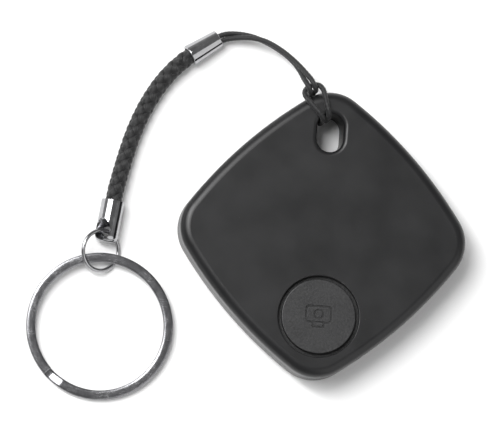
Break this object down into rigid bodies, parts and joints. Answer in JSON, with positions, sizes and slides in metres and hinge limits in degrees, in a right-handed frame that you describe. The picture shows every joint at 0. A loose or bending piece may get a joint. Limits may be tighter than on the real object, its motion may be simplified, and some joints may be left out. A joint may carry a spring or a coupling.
{
  "type": "bluetooth tracker tag",
  "caption": "Rounded-square wireless tracker tag with a round press button and a corner hole, on a girth-hitched cord loop with a braided strap, crimp ferrules, jump ring and split key ring.",
  "frame": {"origin": "centre of the tag's flat back, on the surface it lies on", "axes": "+Z out of the front face; +Y from the button corner to the lanyard-hole corner; +X to the right seen from the front"},
  "size_m": [0.0725, 0.0639, 0.0091],
  "materials": {
    "case_plastic": "soft-touch matt black",
    "button_plastic": "fine spark-eroded texture, black",
    "switch_metal": "stamped",
    "switch_stem": "moulded",
    "board": "green solder mask",
    "chip_epoxy": "moulded epoxy",
    "crystal_can": "bright can",
    "antenna_ceramic": "white fired ceramic",
    "capacitor_ceramic": "tan ceramic",
    "resistor_black": "black glaze",
    "inductor_ferrite": "dark ferrite",
    "buzzer_plastic": "moulded",
    "diaphragm_steel": "thin sheet",
    "magnet_black": "sintered",
    "coil_copper": "enamelled wire",
    "yoke_steel": "plated",
    "cell_steel": "nickel-plated",
    "cell_gasket": "black nylon",
    "cell_cap_steel": "nickel-plated",
    "nickel_strip": "rolled nickel",
    "insulator_film": "amber film",
    "foam": "closed-cell foam",
    "thin_cord_black": "tight fine braid",
    "strap_black": "coarse plait",
    "ferrule_steel": "bright nickel plate",
    "jump_ring_steel": "bright nickel plate",
    "split_ring_steel": "tumbled, fine scratches"
  },
  "bodies": {
    "tag": {"front_shell": "case_plastic", "back_shell": "case_plastic", "switch_body": "switch_metal", "circuit_board": "board", "bluetooth_chip": "chip_epoxy", "crystal": "crystal_can", "chip_antenna": "antenna_ceramic", "capacitors": "capacitor_ceramic", "resistors": "resistor_black", "inductor": "inductor_ferrite", "buzzer_case": "buzzer_plastic", "buzzer_diaphragm": "diaphragm_steel", "buzzer_magnet": "magnet_black", "buzzer_coil": "coil_copper", "buzzer_yoke": "yoke_steel", "coin_cell_can": "cell_steel", "coin_cell_gasket": "cell_gasket", "coin_cell_cap": "cell_cap_steel", "battery_tab_negative": "nickel_strip", "battery_tab_positive": "nickel_strip", "insulator_disc": "insulator_film", "foam_pad": "foam", "thin_cord": "thin_cord_black", "braided_strap": "strap_black", "upper_ferrule": "ferrule_steel", "lower_ferrule": "ferrule_steel"},
    "button": {"button_cap": "button_plastic", "switch_stem": "switch_stem"},
    "jump_ring": {"jump_ring": "jump_ring_steel"},
    "split_ring": {"split_ring": "split_ring_steel"}
  },
  "joints": [
    {"name": "button_press", "type": "slide", "parent": "tag", "child": "button", "axis": [0, 0, -1], "range_m": [0, 0.00025], "stiffness_N_per_m": 4000},
    {"name": "jump_ring_swing", "type": "hinge", "parent": "tag", "child": "jump_ring", "pos_m": [-0.03594, -0.00172, 0.00195], "axis": [-0.6378, 0.0797, 0.766], "range_deg": [0, 25]},
    {"name": "split_ring_turn", "type": "hinge", "parent": "jump_ring", "child": "split_ring", "pos_m": [-0.03608, -0.01769, 0.00118], "axis": [0, -0.0435, 0.9991], "continuous": true}
  ]
}
